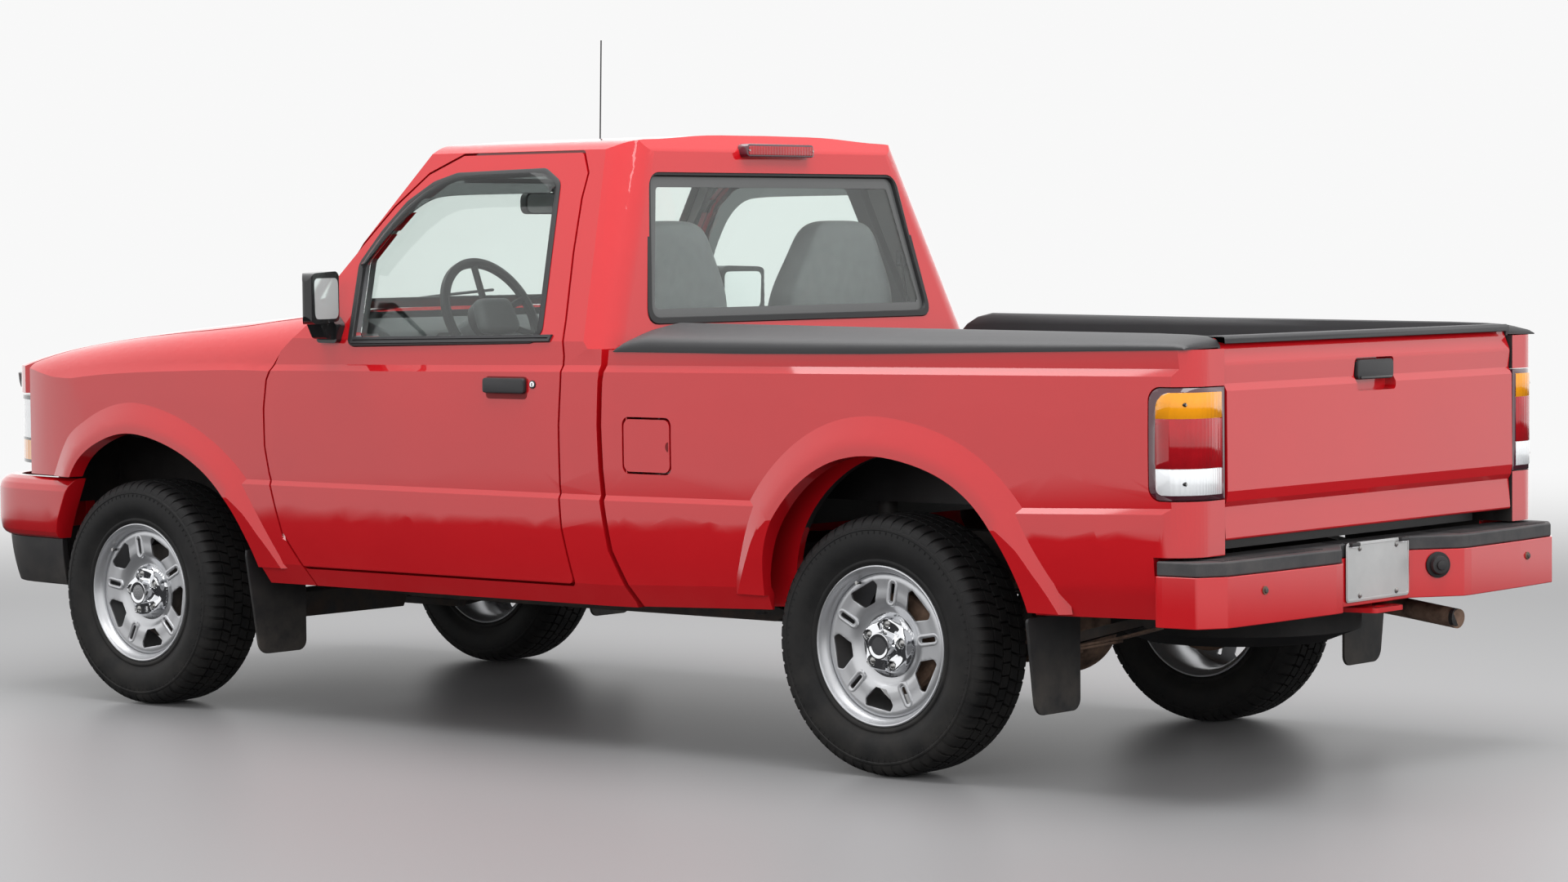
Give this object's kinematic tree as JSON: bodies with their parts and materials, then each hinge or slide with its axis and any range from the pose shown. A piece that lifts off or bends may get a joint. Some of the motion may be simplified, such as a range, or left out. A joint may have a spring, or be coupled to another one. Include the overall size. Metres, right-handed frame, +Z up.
{
  "type": "pickup truck",
  "caption": "Compact regular-cab pickup truck with an open lined load bed, steerable front wheels, opening doors, hood, tailgate and fuel door.",
  "frame": {"origin": "on the ground, below the middle of the truck's overall length and width", "axes": "+X points forward, +Y to the driver's left, +Z up"},
  "size_m": [4.763, 2.0036, 2.032],
  "materials": {
    "body_red": "gloss",
    "glass_tint": "clear",
    "rubber_black": "matte",
    "tyre_black": "matte",
    "rim_silver": "satin",
    "plastic_black": "textured",
    "chassis_black": "satin",
    "cast_grey": "rough",
    "steel_rust": "worn",
    "lamp_clear": "clear",
    "lamp_red": "clear",
    "seat_fabric": "woven",
    "tank_black": "matte"
  },
  "bodies": {
    "chassis": {"antenna": "plastic_black", "armrest": "seat_fabric", "bed_box": "plastic_black", "bed_side_left": "body_red", "bed_side_right": "body_red", "bumper_pad": "plastic_black", "cab_glass": "glass_tint", "cab_shell": "body_red", "cross_members": "chassis_black", "dashboard": "plastic_black", "engine": "cast_grey", "exhaust": "steel_rust", "fender_left": "body_red", "fender_right": "body_red", "frame_rails": "chassis_black", "front_arms": "chassis_black", "front_bumper": "body_red", "front_structure": "chassis_black", "front_valance": "plastic_black", "fuel_tank": "tank_black", "grille": "plastic_black", "headlamps": "lamp_clear", "high_brake_lamp": "lamp_red", "leaf_springs": "chassis_black", "mud_flaps": "rubber_black", "rail_caps": "plastic_black", "rear_axle": "chassis_black", "rear_bumper": "body_red", "rear_window_seal": "rubber_black", "seats": "seat_fabric", "spare_wheel": "tyre_black", "tail_lamps": "lamp_red", "tow_bracket": "body_red"},
    "door_left": {"door_left": "body_red", "door_glass_left": "glass_tint", "mirror_left": "plastic_black"},
    "door_right": {"door_right": "body_red", "door_glass_right": "glass_tint", "mirror_right": "plastic_black"},
    "hood": {"hood": "body_red", "hood_deflector": "plastic_black"},
    "tailgate": {"tailgate": "body_red"},
    "fuel_door": {"fuel_door": "body_red"},
    "knuckle_left": {"knuckle_left": "cast_grey"},
    "knuckle_right": {"knuckle_right": "cast_grey"},
    "steering_wheel": {"steering_wheel": "plastic_black"},
    "wheel_front_left": {"tyre_front_left": "tyre_black", "rim_front_left": "rim_silver"},
    "wheel_front_right": {"tyre_front_right": "tyre_black", "rim_front_right": "rim_silver"},
    "wheel_rear_left": {"tyre_rear_left": "tyre_black", "rim_rear_left": "rim_silver"},
    "wheel_rear_right": {"tyre_rear_right": "tyre_black", "rim_rear_right": "rim_silver"}
  },
  "joints": [
    {"name": "steer_left", "type": "hinge", "parent": "chassis", "child": "knuckle_left", "pos_m": [1.5135, 0.65, 0.338], "axis": [0, 0, 1], "range_deg": [-30, 30]},
    {"name": "steer_right", "type": "hinge", "parent": "chassis", "child": "knuckle_right", "pos_m": [1.5135, -0.65, 0.338], "axis": [0, 0, 1], "range_deg": [-30, 30]},
    {"name": "steering_wheel_turn", "type": "hinge", "parent": "chassis", "child": "steering_wheel", "pos_m": [0.4685, 0.38, 1.16], "axis": [-0.9135, 0, 0.4067], "range_deg": [-480, 480]},
    {"name": "spin_front_left", "type": "hinge", "parent": "knuckle_left", "child": "wheel_front_left", "pos_m": [1.5135, 0.743, 0.338], "axis": [0, 1, 0], "continuous": true},
    {"name": "spin_front_right", "type": "hinge", "parent": "knuckle_right", "child": "wheel_front_right", "pos_m": [1.5135, -0.743, 0.338], "axis": [0, 1, 0], "continuous": true},
    {"name": "spin_rear_left", "type": "hinge", "parent": "chassis", "child": "wheel_rear_left", "pos_m": [-1.3215, 0.7275, 0.338], "axis": [0, 1, 0], "continuous": true},
    {"name": "spin_rear_right", "type": "hinge", "parent": "chassis", "child": "wheel_rear_right", "pos_m": [-1.3215, -0.7275, 0.338], "axis": [0, 1, 0], "continuous": true},
    {"name": "door_left_hinge", "type": "hinge", "parent": "chassis", "child": "door_left", "pos_m": [0.8565, 0.8405, 0.78], "axis": [0, 0.025, -0.9997], "range_deg": [0, 65]},
    {"name": "door_right_hinge", "type": "hinge", "parent": "chassis", "child": "door_right", "pos_m": [0.8565, -0.8405, 0.78], "axis": [0, 0.025, 0.9997], "range_deg": [0, 65]},
    {"name": "hood_hinge", "type": "hinge", "parent": "chassis", "child": "hood", "pos_m": [0.8655, 0, 1.15], "axis": [0, -1, 0], "range_deg": [0, 50]},
    {"name": "tailgate_hinge", "type": "hinge", "parent": "chassis", "child": "tailgate", "pos_m": [-2.2465, 0, 0.658], "axis": [0, -1, 0], "range_deg": [0, 90]},
    {"name": "fuel_door_hinge", "type": "hinge", "parent": "chassis", "child": "fuel_door", "pos_m": [-0.4785, 0.847, 0.833], "axis": [0, 0, -1], "range_deg": [0, 100]}
  ],
  "couplings": [
    {"joint": "steer_right", "follows": "steer_left", "ratio": 1},
    {"joint": "steering_wheel_turn", "follows": "steer_left", "ratio": 16}
  ]
}
